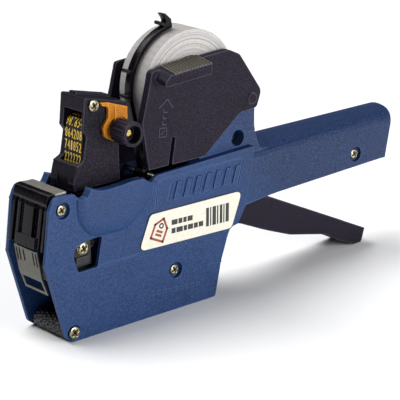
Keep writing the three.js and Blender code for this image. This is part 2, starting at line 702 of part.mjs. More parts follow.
function selectorBracket() {
  const shape = outline([
    [-20.4, 116.4, 1], [-19.6, 114.6], [-16.2, 113.8, 1.5], [-16.2, 108.4, 4], [-19.8, 104, 3],
    [-18.8, 98.6, 3], [-12.4, 95.2, 1], [-11, 98.2, 1], [-4.6, 104.6], [-4.6, 111.8, 0.8], [-16, 115.8, 1],
  ]);
  const plate = slab(shape, -HEAD_HALF_WIDTH - GAP - 2, -HEAD_HALF_WIDTH - GAP, 5);
  const roundKnob = rod(KNOB_RADIUS + 0.5, -20, -HEAD_HALF_WIDTH - 1.1, KNOB_AXIS, 28);
  return cut(plate, roundKnob, rod(2.4, -20, 0, KNOB_AXIS, 18));
}

function printHead() {
  place('head_cover', headCover(), black());
  place('head_frame', headFrame(), black());
  for (let index = 0; index < BAND_COUNT; index += 1) {
    place(`type_band_${index + 1}`, typeBand(index), bandRubber());
  }
  place('band_shaft', rod(1.5, -8.3, 7.3, BAND_SHAFT, 18), steel());
  place('selector_bracket', selectorBracket(), orange());
  screw('head_screw', [-23.9, 115.4], -HEAD_HALF_WIDTH - 1.7, -HEAD_HALF_WIDTH - GAP, -HEAD_HALF_WIDTH - 0.2, 2.9);
  place('selector_shaft', rod(1.7, KNOB_NEAR + 4, 9.4, KNOB_AXIS, 18), steel());
  const knob = place('selector_knob', selectorKnob(), black());
  knob.position.set(KNOB_AXIS[0], 0, KNOB_AXIS[1]);
}

function inking() {
  const [px, pz] = INK_PIVOT;
  const [rx, rz] = INK_ROLLER;
  const reach = Math.hypot(rx - px, rz - pz);
  const lean = Math.atan2(rz - pz, rx - px);
  const side = (near, far) => {
    const bar = strip([px, pz], [rx, rz], 3.6, near, far);
    return join(bar, rod(3, near, far, INK_PIVOT), rod(2.4, near, far, INK_ROLLER, 18));
  };
  const middle = [px + reach * 0.45 * Math.cos(lean), pz + reach * 0.45 * Math.sin(lean)];
  const arm = join(side(-10, -8.8), side(8.8, 10), rod(1.2, -9, 9, middle, 14));
  place('ink_arm', cut(arm, rod(1.8, -20, 20, INK_PIVOT, 18), rod(1.5, -20, 20, INK_ROLLER, 18)), steel());
  place('ink_roller_pin', rod(1.2, -9.9, 9.9, INK_ROLLER, 14), steel());
  const roller = place('ink_roller', ring(1.5, 5, 8.4, 24), felt());
  roller.position.set(rx, 0, rz);
}

// ---------- label roll, its plates and its tension arm ----------

const PLATE_OUTLINE = [
  [5.2, 77.4, 0.8], [1.9, 102.2, 1.5], [7.8, 123, 1], [8.6, TAB_TOP, 2.5], [59, 130.2, 5],
  [66.4, 126.6, 4], [81, 105, 5], [77.6, 96.4, 3], [66, 95.6, 4], [42, 77.4, 0.8],
];

function rollCover() {
  const rimless = outline([
    [-5, 70], [-5, 100], [3.9, 102.4], [9.6, 122.8], [10.6, 125.6, 1], [58.8, 128.2, 3], [66, 119],
    [90, 119], [90, 70],
  ]);
  const plate = cut(slab(outline(PLATE_OUTLINE), -PLATE_OUTSIDE, -11, 4), slab(rimless, -PLATE_INSIDE, -10));
  const tab = slab(outline([
    [11, 121.4, 1.4], [10.6, 124, 1.5], [14, TAB_TOP, 1], [40.8, TAB_TOP, 0.4], [41, 121.4, 0.4],
  ]), -TAB_OUTSIDE, -PLATE_OUTSIDE + 0.1);
  const hollow = block(12.6, 39.4, -TAB_OUTSIDE + 1.6, -PLATE_OUTSIDE - 0.4, 118, 125.4);
  const ridgeCount = 14;
  const ridges = Array.from({ length: ridgeCount }, (_, index) => {
    const x = 16.6 + index * 1.75;
    return block(x, x + 0.85, -TAB_OUTSIDE + 0.2, -12.2, TAB_TOP - 0.9, TAB_TOP + 0.5);
  });
  // The tab leans out and down from the plate's top corner, and rises with the plate's top edge.
  const leaning = join(cut(tab, hollow), ...ridges)
    .translate([-TAB_HINGE[0], PLATE_OUTSIDE, -TAB_HINGE[1]])
    .rotate([TAB_LEAN, -TAB_RISE, 0])
    .translate([TAB_HINGE[0], -PLATE_OUTSIDE, TAB_HINGE[1]]);
  const slot = slab(outline([[17.3, 75], [19.7, 75], [22.8, 91.4, 1.1], [20.5, 91.8, 1.1]]), -20, -10);
  const whole = join(plate, leaning);
  const boss = rod(3, -PLATE_OUTSIDE - 0.9, -PLATE_INSIDE - 0.5, COVER_PIVOT, 24);
  return cut(join(whole, boss), slot, rod(1.8, -PLATE_OUTSIDE - 0.1, -10, COVER_PIVOT, 18));
}

function rollHolder() {
  place('roll_cover', rollCover(), black());
  const skirt = slab(outline([[7.6, 80], [7.6, 73.2, 1], [32, 73.2, 1], [32, 80]]), PLATE_INSIDE, INNER - GAP);
  const fill = slab(outline([[30, 78], [66, 97], [56, 77.4, 1], [30, 77.4]]), PLATE_INSIDE, PLATE_OUTSIDE);
  const farPlate = join(slab(outline(PLATE_OUTLINE), PLATE_INSIDE, PLATE_OUTSIDE, 5), skirt, fill);
  const hub = cut(
    rod(CORE_INNER - GAP, -9, PLATE_INSIDE + 0.2, ROLL_AXIS, 24),
    rod(CORE_INNER - GAP - 1.8, -20, 10.4, ROLL_AXIS, 24),
  );
  const pinBore = rod(1.8, 0, PLATE_OUTSIDE - 0.7, COVER_PIVOT, 18);
  place('right_roll_plate', cut(join(farPlate, hub), pinBore), black());
  const pinEnd = PLATE_OUTSIDE - 0.9;
  place('cover_pin_left', rod(1.5, -pinEnd - 0.4, -10.8, COVER_PIVOT, 18), steel());
  place('cover_pin_right', rod(1.5, 10.8, pinEnd, COVER_PIVOT, 18), steel());
}

function labelRoll() {
  const core = place('roll_core', ring(CORE_INNER, CORE_OUTER, ROLL_HALF_WIDTH, 24), card());
  core.position.set(ROLL_AXIS[0], 0, ROLL_AXIS[1]);
  const labels = place('label_roll', ring(CORE_OUTER + GAP, ROLL_RADIUS, ROLL_HALF_WIDTH, 48), paper());
  labels.position.set(ROLL_AXIS[0], 0, ROLL_AXIS[1]);
}

function tensionArm() {
  const [cx, cz] = ROLL_AXIS;
  const inside = ROLL_RADIUS + 0.7;
  const outside = inside + 2.2;
  const start = THREE.MathUtils.degToRad(98);
  const end = THREE.MathUtils.degToRad(188);
  const strap = new THREE.Shape();
  strap.absarc(cx, cz, inside, start, end, false);
  strap.lineTo(ARM_PIVOT[0] + 1.4, ARM_PIVOT[1] + 1);
  strap.lineTo(ARM_PIVOT[0] - 1.6, ARM_PIVOT[1] + 1);
  strap.lineTo(cx + outside * Math.cos(end), cz + outside * Math.sin(end));
  strap.absarc(cx, cz, outside, end, start, true);
  strap.closePath();
  const hook = outline([
    [31.2, 143.8], [33.2, 145, 1.5], [32.4, 148.2, 2.5], [29, 151.4, 1], [26.8, 151.6], [28.8, 148.8, 2],
    [29.4, 146.6, 1], [27.6, 144.4], [28, 143],
  ]);
  const pegs = [[27, 146.4], [5.6, 125.4], [3.6, 112.8]].map((axis) => rod(1, -1.6, 3.9, axis, 12));
  const pegLinks = [
    strip([27, 146.4], [30.6, 145], 1.6, -2.2, 2.2),
    strip([5.6, 125.4], [8, 124.4], 1.6, -2.2, 2.2),
    strip([3.6, 112.8], [6, 112.6], 1.6, -2.2, 2.2),
  ];
  const boss = rod(3.2, -4, 4, ARM_PIVOT, 20);
  const whole = join(slab(strap, -2.2, 2.2, 10), slab(hook, -2.2, 2.2), boss, ...pegs, ...pegLinks);
  place('tension_arm', cut(whole, rod(1.8, -10, 10, ARM_PIVOT, 18)), black());
}

// ---------- the gun ----------

shells();
housingScrews();
sideLabels();
crossPins();
nose();
adjuster();
applicator();
place('base_cover', baseCover(), blue());
feed();
trigger();
printHead();
inking();
rollHolder();
labelRoll();
tensionArm();

export default group;
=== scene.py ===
"""Looks for the price labeling gun: moulded blue shells, black plastic, metal, paper and printed film."""

import json
import math

import bmesh
import bpy
from mathutils import Matrix, Vector


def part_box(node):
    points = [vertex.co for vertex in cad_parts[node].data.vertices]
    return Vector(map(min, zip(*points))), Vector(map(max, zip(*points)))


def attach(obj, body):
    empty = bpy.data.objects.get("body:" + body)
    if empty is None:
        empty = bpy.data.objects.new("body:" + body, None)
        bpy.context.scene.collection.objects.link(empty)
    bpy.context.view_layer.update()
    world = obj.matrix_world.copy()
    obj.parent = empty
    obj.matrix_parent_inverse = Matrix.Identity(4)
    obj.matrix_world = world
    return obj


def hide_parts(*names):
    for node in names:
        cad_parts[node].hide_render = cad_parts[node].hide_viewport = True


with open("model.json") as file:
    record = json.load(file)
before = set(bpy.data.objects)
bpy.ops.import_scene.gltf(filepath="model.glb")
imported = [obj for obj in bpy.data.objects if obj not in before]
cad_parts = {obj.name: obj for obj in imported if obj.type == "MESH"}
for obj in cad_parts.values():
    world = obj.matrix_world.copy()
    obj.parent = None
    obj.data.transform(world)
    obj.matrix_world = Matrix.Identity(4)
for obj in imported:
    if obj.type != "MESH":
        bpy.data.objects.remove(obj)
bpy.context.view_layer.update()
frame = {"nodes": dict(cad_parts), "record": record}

MM = 0.001
NODES = frame["nodes"]
BODY_OF = {node: body for body, nodes in frame["record"]["behaviour"]["bodies"].items() for node in nodes}

SCREWS = (
    "nose_screw", "body_screw", "handle_screw", "tower_screw", "roller_screw", "adjuster_screw", "head_screw",
)
HALF_WIDTH = 17 * MM
COVER_FACE = -15.5 * MM
TAB_HINGE = Vector((8.6, -15.5, 127.3)) * MM    # where the tab leans out from the roll cover's top corner
TAB_LEAN = math.radians(10)
TAB_RISE = math.radians(3.3)
TAB_RIDGES = 14
TAB_FIRST_RIDGE = 8.43 * MM
TAB_RIDGE_PITCH = 1.75 * MM
TAB_FRONT, TAB_BACK = -8.5 * MM, 3.4 * MM       # the ridges' ends, from the hinge
TOWER_HALF = 12.7 * MM
TOWER_BACK = 78.6 * MM
HANDLE_HALF = 14.8 * MM
HANDLE_TOP = 76.3 * MM
HANDLE_SHOULDER = 66.6 * MM


# ---------- camera, floor and light ----------

AIM = Vector((51, 0, 48)) * MM
CAMERA_DISTANCE = 0.965
CAMERA_AZIMUTH = -40.0
CAMERA_ELEVATION = 18.2
CAMERA_ROLL = -1.0
CAMERA_LENS = 165.6                # millimetres, on a sensor this wide
CAMERA_SENSOR = 36
CAMERA_REACH = 50                  # metres
BRIGHT_SIDE = (0.75, -0.6, 0.1)    # the side of the studio with the pale wall
DARK_WALL = (0.05, 0.052, 0.06, 1)
PALE_WALL = (0.34, 0.34, 0.35, 1)
WALL_START, WALL_END = 0.1, 0.8    # where the dark wall ends and the pale one begins, along BRIGHT_SIDE


def make_camera():
    azimuth, elevation, roll = (math.radians(a) for a in (CAMERA_AZIMUTH, CAMERA_ELEVATION, CAMERA_ROLL))
    back = Vector((
        math.sin(azimuth) * math.cos(elevation),
        -math.cos(azimuth) * math.cos(elevation),
        math.sin(elevation),
    ))
    level = Vector((math.cos(azimuth), math.sin(azimuth), 0))
    above = back.cross(level)
    right = level * math.cos(roll) + above * math.sin(roll)
    up = above * math.cos(roll) - level * math.sin(roll)
    data = bpy.data.cameras.new("camera")
    data.sensor_width = CAMERA_SENSOR
    data.lens = CAMERA_LENS
    data.clip_end = CAMERA_REACH
    camera = bpy.data.objects.new("camera", data)
    bpy.context.scene.collection.objects.link(camera)
    turn = Matrix((right, up, back)).transposed().to_4x4()
    camera.matrix_world = Matrix.Translation(AIM + back * CAMERA_DISTANCE) @ turn
    bpy.context.scene.camera = camera


def make_light(name, direction, distance, size, power):
    data = bpy.data.lights.new(name, "AREA")
    data.shape = "DISK"
    data.size = size
    data.energy = power
    light = bpy.data.objects.new(name, data)
    bpy.context.scene.collection.objects.link(light)
    away = Vector(direction).normalized()
    facing = away.to_track_quat("Z", "Y").to_matrix().to_4x4()
    light.matrix_world = Matrix.Translation(AIM + away * distance) @ facing


def make_sun(direction, spread, strength):
    data = bpy.data.lights.new("ceiling", "SUN")
    data.angle = math.radians(spread)
    data.energy = strength
    sun = bpy.data.objects.new("ceiling", data)
    bpy.context.scene.collection.objects.link(sun)
    sun.matrix_world = Vector(direction).to_track_quat("Z", "Y").to_matrix().to_4x4()


def make_world():
    world = bpy.data.worlds.new("studio")
    bpy.context.scene.world = world
    world.use_nodes = True
    nodes = world.node_tree.nodes
    links = world.node_tree.links
    nodes.clear()
    output = nodes.new("ShaderNodeOutputWorld")
    background = nodes.new("ShaderNodeBackground")
    background.inputs["Strength"].default_value = 1.0
    place = nodes.new("ShaderNodeTexCoord")
    towards = nodes.new("ShaderNodeVectorMath")
    towards.operation = "DOT_PRODUCT"
    towards.inputs[1].default_value = Vector(BRIGHT_SIDE).normalized()
    ramp = nodes.new("ShaderNodeValToRGB")
    walls = ((WALL_START, DARK_WALL), (WALL_END, PALE_WALL))
    for element, (position, colour) in zip(ramp.color_ramp.elements, walls):
        element.position = position
        element.color = colour
    links.new(place.outputs["Generated"], towards.inputs[0])
    links.new(towards.outputs["Value"], ramp.inputs["Fac"])
    links.new(ramp.outputs["Color"], background.inputs["Color"])
    links.new(background.outputs[0], output.inputs["Surface"])


# ---------- node materials ----------

def srgb(red, green, blue):
    """A colour given as 0 to 255 sRGB, as the linear colour that sockets take."""
    def linear(channel):
        share = channel / 255
        return share / 12.92 if share <= 0.04045 else ((share + 0.055) / 1.055) ** 2.4
    return (linear(red), linear(green), linear(blue), 1)


class Look:
    """A material under construction: its node tree, its shader, and short calls for common nodes."""

    def __init__(self, name, roughness, metallic=0.0, **sockets):
        self.material = bpy.data.materials.new(name)
        self.material.use_nodes = True
        self.nodes = self.material.node_tree.nodes
        self.links = self.material.node_tree.links
        self.shader = self.nodes["Principled BSDF"]
        self.shader.inputs["Roughness"].default_value = roughness
        self.shader.inputs["Metallic"].default_value = metallic
        for socket, value in sockets.items():
            self.shader.inputs[socket.replace("_", " ")].default_value = value
        self.place = self.nodes.new("ShaderNodeTexCoord").outputs["Object"]

    def link(self, source, target):
        self.links.new(source, target)

    def noise(self, per_metre, detail=2.0, source=None):
        node = self.nodes.new("ShaderNodeTexNoise")
        node.inputs["Scale"].default_value = per_metre
        node.inputs["Detail"].default_value = detail
        self.link(source or self.place, node.inputs["Vector"])
        return node.outputs["Fac"]

    def noise_along(self, distance, per_metre, detail=2.0):
        """Noise that changes with one distance only, as layers and turns do."""
        node = self.nodes.new("ShaderNodeTexNoise")
        node.noise_dimensions = "1D"
        node.inputs["Scale"].default_value = per_metre
        node.inputs["Detail"].default_value = detail
        self.link(distance, node.inputs["W"])
        return node.outputs["Fac"]

    def vector(self, operation, first, second=None):
        """A vector node on a linked vector and, where the operation takes one, a fixed or linked second."""
        node = self.nodes.new("ShaderNodeVectorMath")
        node.operation = operation
        self.link(first, node.inputs[0])
        if isinstance(second, (tuple, Vector)):
            node.inputs[1].default_value = second
        elif second is not None:
            self.link(second, node.inputs[1])
        return node

    def math(self, operation, first, second):
        node = self.nodes.new("ShaderNodeMath")
        node.operation = operation
        for socket, value in zip(node.inputs, (first, second)):
            if isinstance(value, (int, float)):
                socket.default_value = value
            else:
                self.link(value, socket)
        return node.outputs[0]

    def ramp(self, source, low, high, start=0.0, end=1.0):
        node = self.nodes.new("ShaderNodeMapRange")
        self.link(source, node.inputs["Value"])
        node.inputs["From Min"].default_value = low
        node.inputs["From Max"].default_value = high
        node.inputs["To Min"].default_value = start
        node.inputs["To Max"].default_value = end
        return node.outputs["Result"]

    def mix(self, share, first, second):
        node = self.nodes.new("ShaderNodeMix")
        node.data_type = "RGBA"
        self.link(share, node.inputs["Factor"])
        colour_a, colour_b, colour_result = node.inputs[6], node.inputs[7], node.outputs[2]
        for socket, value in ((colour_a, first), (colour_b, second)):
            if isinstance(value, tuple):
                socket.default_value = value
            else:
                self.link(value, socket)
        return colour_result

    def highlit_edge_mask(self, radius):
        """1 on a convex or concave edge within radius, 0 on flat ground: the mask for painted edge
        highlights.
        """
        rounded = self.nodes.new("ShaderNodeBevel")
        rounded.samples = 4
        rounded.inputs["Radius"].default_value = radius
        ground = self.nodes.new("ShaderNodeNewGeometry")
        agreement = self.vector("DOT_PRODUCT", rounded.outputs["Normal"], ground.outputs["Normal"])
        return self.ramp(agreement.outputs["Value"], 0.998, 0.92)

    def bump(self, height, strength, distance):
        node = self.nodes.new("ShaderNodeBump")
        node.inputs["Strength"].default_value = strength
        node.inputs["Distance"].default_value = distance
        self.link(height, node.inputs["Height"])
        self.link(node.outputs["Normal"], self.shader.inputs["Normal"])

    def colour(self, source):
        self.link(source, self.shader.inputs["Base Color"])

    def roughness(self, source):
        self.link(source, self.shader.inputs["Roughness"])


GRAIN_SIZE = 0.6 * MM
PAINTED_SHADE_WAY = (1, 0, 0.5)             # painted shade darkens the colour along this way, between these two distances
PAINTED_SHADE_START, PAINTED_SHADE_END = 88 * MM, 122 * MM


def moulded_plastic(
    name, base, shade, edge, roughness,
    grain=0.45, gloss=0.4, speckle=0.3, highlight_radius=0.75 * MM, painted_rear_shade=None,
):
    """Spark-textured plastic: fine grain, soft blotches, edges painted paler as a highlight, and a painted
    shade deepening it towards the handle if given.
    """
    look = Look(name, roughness, Specular_IOR_Level=gloss)
    grain_noise = look.noise(1 / GRAIN_SIZE, detail=1.0)
    blotch = look.noise(55, detail=3.0)
    speck = look.ramp(grain_noise, 0.42, 0.66)
    ground = look.mix(look.ramp(blotch, 0.3, 0.7), base, shade)
    # Painted shade: the colour deepens towards the handle and tower, where less light falls.
    if painted_rear_shade:
        along = look.vector("DOT_PRODUCT", look.place, PAINTED_SHADE_WAY)
        ground = look.mix(look.ramp(along.outputs["Value"], PAINTED_SHADE_START, PAINTED_SHADE_END), ground, painted_rear_shade)
    # edge is the pale colour of the grain's flecks and of the painted edge highlights.
    speckled = look.mix(look.math("MULTIPLY", speck, speckle), ground, edge)
    # Painted highlight: edges are mixed towards the pale colour as if light caught them, patchy with the
    # blotches.
    painted_edge_highlight = look.math("MULTIPLY", look.highlit_edge_mask(highlight_radius), look.ramp(blotch, 0.25, 0.7, 0.45, 0.95))
    look.colour(look.mix(painted_edge_highlight, speckled, edge))
    spread = look.ramp(grain_noise, 0.3, 0.7, roughness - 0.07, roughness + 0.1)
    look.roughness(look.math("SUBTRACT", spread, look.math("MULTIPLY", painted_edge_highlight, 0.12)))
    look.bump(grain_noise, grain, 0.12 * MM)
    return look.material


STREAKS_PER_METRE = 900
EVEN = (1, 1, 1)
BRUSHED = (1, 14, 1)               # streaks packed closely across the gun's width


def metal(name, base, shade, roughness, streak=EVEN):
    """Turned or brushed metal: streaks packed as streak says, with faint stains."""
    look = Look(name, roughness, metallic=1.0)
    stretch = look.nodes.new("ShaderNodeMapping")
    stretch.inputs["Scale"].default_value = streak
    look.link(look.place, stretch.inputs["Vector"])
    lines = look.noise(STREAKS_PER_METRE, detail=3.0, source=stretch.outputs["Vector"])
    stain = look.noise(160, detail=2.0)
    ground = look.mix(look.ramp(lines, 0.3, 0.7), base, shade)
    look.colour(look.mix(look.ramp(stain, 0.55, 0.8, 0, 0.5), ground, shade))
    look.roughness(look.ramp(lines, 0.3, 0.7, roughness - 0.08, roughness + 0.12))
    look.bump(lines, 0.12, 0.05 * MM)
    return look.material


LAYERS_PER_METRE = 1100
TURNS_PER_METRE = 330
FLECKS_PER_METRE = 1500


def wound_paper(name, centre, base, line, warm):
    """Paper wound round a Y axis: fine rings on the ends, broad bands on the outside, and small flecks."""
    look = Look(name, 0.72)
    away = look.vector("SUBTRACT", look.place, centre)
    flat = look.vector("MULTIPLY", away.outputs[0], (1, 0, 1))
    radius = look.vector("LENGTH", flat.outputs[0]).outputs["Value"]
    layers = look.noise_along(radius, LAYERS_PER_METRE, detail=3.0)
    turns = look.noise_along(radius, TURNS_PER_METRE)
    ringed = look.mix(look.ramp(layers, 0.35, 0.7), base, line)
    toned = look.mix(look.ramp(turns, 0.5, 0.75, 0, 0.6), ringed, warm)
    fleck = look.noise(FLECKS_PER_METRE)
    look.colour(look.mix(look.ramp(fleck, 0.5, 0.75, 0, 0.75), toned, line))
    look.bump(look.math("ADD", layers, fleck), 0.4, 0.16 * MM)
    return look.material


def printed(name, base, roughness=0.4):
    """Printed film: even ink with a faint mottle under a thin clear coat."""
    look = Look(name, roughness, Coat_Weight=0.3)
    mottle = look.noise(700, detail=2.0)
    darker = tuple(channel * 0.9 for channel in base[:3]) + (1,)
    look.colour(look.mix(look.ramp(mottle, 0.35, 0.7), base, darker))
    look.roughness(look.ramp(mottle, 0.3, 0.7, roughness - 0.05, roughness + 0.08))
    look.bump(mottle, 0.05, 0.05 * MM)
    return look.material


def make_materials():
    roll_low, roll_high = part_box("label_roll")
    roll_centre = (roll_low + roll_high) / 2
    # Each plastic's set: a base colour, a blotch colour, and a pale colour for flecks and painted edge
    # highlights.
    blue = (srgb(9, 46, 94), srgb(8, 40, 84), srgb(70, 104, 156))
    painted_shade_blue = srgb(2, 24, 62)
    black = (srgb(22, 17, 31), srgb(16, 12, 24), srgb(98, 92, 112))
    head = (srgb(19, 13, 26), srgb(13, 9, 20), srgb(112, 106, 124))
    gloss = (srgb(8, 3, 10), srgb(5, 2, 7), srgb(96, 90, 104))
    inner = (srgb(22, 20, 24), srgb(14, 13, 16), srgb(74, 74, 78))
    orange = (srgb(178, 102, 0), srgb(160, 86, 0), srgb(236, 180, 76))
    rubber = (srgb(18, 17, 20), srgb(12, 12, 14), srgb(50, 50, 54))
    felt = (srgb(26, 20, 44), srgb(18, 14, 32), srgb(60, 52, 84))
    studs = (srgb(20, 17, 24), srgb(14, 11, 17), srgb(84, 80, 92))
    # Paler than the black plastic: a painted highlight on the tab's ridges.
    grip = (srgb(66, 62, 54), srgb(52, 49, 43), srgb(120, 114, 104))
    paper = (srgb(206, 203, 202), srgb(150, 148, 148), srgb(212, 200, 184))
    card = (srgb(186, 146, 92), srgb(160, 120, 70), srgb(150, 108, 60))
    return {
        # The housing blue darkens towards the handle and tower: painted shade.
        "housing_blue": moulded_plastic("blue_housing_plastic", *blue, 0.52, gloss=0.33, painted_rear_shade=painted_shade_blue),
        "black_plastic": moulded_plastic("black_grained_plastic", *black, 0.52, gloss=0.1, speckle=0.16),
        "head_black": moulded_plastic(
            "black_head_plastic", *head, 0.4, gloss=0.1, speckle=0.1, highlight_radius=0.5 * MM,
        ),
        "gloss_black": moulded_plastic(
            "black_gloss_plastic", *gloss, 0.22, grain=0.06, gloss=0.16, speckle=0.02, highlight_radius=0.22 * MM,
        ),
        "dark_plastic": moulded_plastic("dark_inner_plastic", *inner, 0.5),
        "orange_plastic": moulded_plastic("orange_gloss_plastic", *orange, 0.36, grain=0.08, gloss=0.14),
        "peel_steel": metal("peel_plate_steel", srgb(122, 121, 114), srgb(88, 86, 80), 0.5, BRUSHED),
        "steel": metal("bright_steel", srgb(196, 196, 190), srgb(140, 140, 136), 0.28),
        "satin_plate": metal("satin_nickel_plate", srgb(176, 174, 164), srgb(136, 134, 126), 0.5, BRUSHED),
        "screw_metal": metal("plated_screw", srgb(206, 200, 172), srgb(112, 104, 80), 0.26),
        "band_rubber": moulded_plastic("band_rubber", *rubber, 0.62),
        "label_paper": wound_paper("wound_labels", roll_centre, *paper),
        "core_card": wound_paper("rolled_card", roll_centre, *card),
        "label_film": printed("label_film", srgb(227, 223, 208)),
        "ink_felt": moulded_plastic("inked_felt", *felt, 0.9, grain=0.9),
        "digit_ink": printed("raised_digit_yellow", srgb(246, 208, 64), 0.45),
        "icon_ink": printed("icon_orange", srgb(150, 58, 16)),
        "text_ink": printed("bar_black", srgb(22, 20, 24)),
        # A painted shadow for the dark rim round each label.
        "painted_label_shadow": printed("label_rim_painted_shadow", srgb(26, 30, 44), 0.6),
        "stud_rubber": moulded_plastic("stud_rubber", *studs, 0.3, grain=0.1, gloss=0.45, speckle=0.08),
        "ridge_painted_highlight": moulded_plastic("grip_plastic_painted_highlight", *grip, 0.42, grain=0.2, gloss=0.2),
        # Painted shade: a darker metal for the bottoms of the screws' cross recesses.
        "painted_recess_shade": metal("painted_shade_in_screw_recess", srgb(92, 82, 58), srgb(60, 52, 36), 0.5),
        "brass": metal("brass", srgb(214, 190, 120), srgb(160, 132, 70), 0.25),
    }


# ---------- mesh helpers ----------

def new_piece(name, mesh):
    piece = bpy.data.objects.new(name, mesh)
    bpy.context.scene.collection.objects.link(piece)
    return piece


def from_bmesh(name, work):
    mesh = bpy.data.meshes.new(name)
    bmesh.ops.recalc_face_normals(work, faces=work.faces)
    work.to_mesh(mesh)
    work.free()
    return new_piece(name, mesh)


def dress(piece, body, look, replaces=()):
    """Gives a finished piece its material and its body, and hides the CAD nodes it stands for."""
    piece.data.materials.clear()
    piece.data.materials.append(LOOKS[look])
    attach(piece, body)
    if replaces:
        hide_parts(*replaces)
    return piece


def smooth(piece):
    for polygon in piece.data.polygons:
        polygon.use_smooth = True
    return piece


CORNER = 32        # degrees: an edge bent by more than this is a corner
ROOM = 1.25        # a corner is rounded only if the faces beside it are this many times the rounding's width
WELD = 0.003 * MM
FLAT_BEND = 0.6    # degrees: faces bent by less than this are one face


def soften(piece, width, segments, angle=CORNER):
    """Rounds every corner, or only the marked ones where there are marks, and shades the rest smooth."""
    smooth(piece)
    bevel = piece.modifiers.new("rounded_edges", "BEVEL")
    bevel.width = width
    bevel.segments = segments
    bevel.limit_method = "WEIGHT" if "bevel_weight_edge" in piece.data.attributes else "ANGLE"
    bevel.angle_limit = math.radians(angle)
    bevel.use_clamp_overlap = False
    bevel.miter_outer = "MITER_ARC"
    bevel.harden_normals = True
    normals = piece.modifiers.new("even_normals", "WEIGHTED_NORMAL")
    normals.keep_sharp = True
    return piece


def mark_edges(work, width):
    """Marks each corner for rounding, or leaves it sharp where a face beside it is too narrow for that."""
    marks = work.edges.layers.float.new("bevel_weight_edge")
    breadth = {}
    for face in work.faces:
        breadth[face] = 2 * face.calc_area() / sum(edge.calc_length() for edge in face.edges)
    for edge in work.edges:
        if len(edge.link_faces) != 2:
            continue
        roomy = min(breadth[face] for face in edge.link_faces) > ROOM * width
        corner = edge.calc_face_angle() > math.radians(CORNER)
        edge[marks] = 1.0 if roomy and corner else 0.0
        edge.smooth = roomy or not corner


def clean_copy(node, name, width):
    """A copy of a CAD node's mesh with its flat areas made whole and its edges marked for rounding."""
    work = bmesh.new()
    work.from_mesh(NODES[node].data)
    bmesh.ops.remove_doubles(work, verts=work.verts, dist=WELD)
    bmesh.ops.dissolve_degenerate(work, edges=work.edges, dist=WELD)
    bmesh.ops.dissolve_limit(
        work, angle_limit=math.radians(FLAT_BEND), verts=work.verts, edges=work.edges, delimit={"NORMAL"},
    )
    mark_edges(work, width)
    bmesh.ops.triangulate(work, faces=work.faces, quad_method="BEAUTY", ngon_method="BEAUTY")
    return from_bmesh(name, work)


def moulded(node, look, width):
    """The CAD node's shape with its edges rounded as a moulded or pressed piece has them."""
    piece = soften(clean_copy(node, f"{node}_moulding", width), width, 2)
    return dress(piece, BODY_OF[node], look, [node])


LOOKS = make_materials()

# For each look, the width of its edges' rounding in millimetres and the CAD nodes that have it.
ROUNDED = {
    "housing_blue": (0.45, ["left_shell", "right_shell", "base_cover"]),
    "black_plastic": (0.35, ["trigger", "roll_cover", "right_roll_plate"]),
    "head_black": (0.35, ["head_cover", "selector_knob"]),
    "gloss_black": (0.35, ["nose_cover", "head_frame", "tension_arm"]),
    "dark_plastic": (0.25, ["platen", "adjuster_block", "feed_wheel", "feed_lever"]),
    "orange_plastic": (0.35, ["selector_bracket"]),
    "satin_plate": (0.15, ["nose_top_plate"]),
    "peel_steel": (0.15, ["peel_plate"]),
    "screw_metal": (0.2, ["adjuster_washer"]),
    "band_rubber": (0.15, [f"type_band_{index}" for index in range(1, 7)]),
    "steel": (0.2, [
        "trigger_pin", "head_pin", "feed_axle", "ink_arm_pin", "tension_arm_pin", "base_cover_pin",
        "roller_axle", "band_shaft", "ink_arm", "ink_roller_pin", "cover_pin_left",
        "cover_pin_right",
    ]),
    "brass": (0.2, ["selector_shaft"]),
    "label_film": (0.1, ["left_label", "right_label"]),
    "label_paper": (0.25, ["label_roll"]),
    "core_card": (0.2, ["roll_core"]),
    "ink_felt": (0.3, ["ink_roller"]),
}


FLOOR_CELLS = 40
FLOOR_HALF = 6    # metres


def make_floor():
    work = bmesh.new()
    bmesh.ops.create_grid(work, x_segments=FLOOR_CELLS, y_segments=FLOOR_CELLS, size=FLOOR_HALF)
    floor = from_bmesh("floor", work)
    look = Look("floor_paper", 0.9)
    look.colour(look.mix(look.ramp(look.noise(3), 0.3, 0.7), srgb(254, 254, 254), srgb(251, 251, 251)))
    floor.data.materials.append(look.material)


# ---------- fine pieces ----------

def prism(work, corners, near, far):
    """Adds an outline of (x, z) corners, made solid between two Y planes, to a mesh under construction."""
    front, back = ([work.verts.new((x, y, z)) for x, z in corners] for y in (near, far))
    work.faces.new(front)
    work.faces.new(back[::-1])
    for index, corner in enumerate(front):
        after = (index + 1) % len(front)
        work.faces.new((corner, back[index], back[after], front[after]))


SUNK = 0.02 * MM    # how deep a raised mark's foot is set in the face under it


class Flat:
    """A level sheet of artwork on a side face: u runs along it, v across it, and it rises out of the face."""

    def __init__(self, origin, along, face, outward):
        self.origin = Vector(origin)
        self.along = Vector(along).normalized()
        turn = 1 if self.along.x > 0 else -1
        self.across = Vector((-self.along.y, self.along.x)) * turn
        self.face = face
        self.outward = outward

    def at(self, u, v):
        return tuple(self.origin + self.along * u + self.across * v)

    def fill(self, work, corners, height):
        rise = self.outward * height
        low, high = sorted((self.face - self.outward * SUNK, self.face + rise))
        prism(work, [self.at(u, v) for u, v in corners], low, high)

    def bar(self, work, u, v, width, tall, height):
        self.fill(work, [(u, v), (u + width, v), (u + width, v + tall), (u, v + tall)], height)

    def line(self, work, start, end, width, height):
        step = Vector(end) - Vector(start)
        side = Vector((-step.y, step.x)).normalized() * width / 2
        ends = (Vector(start), Vector(end))
        corners = [ends[0] + side, ends[0] - side, ends[1] - side, ends[1] + side]
        self.fill(work, [tuple(corner) for corner in corners], height)


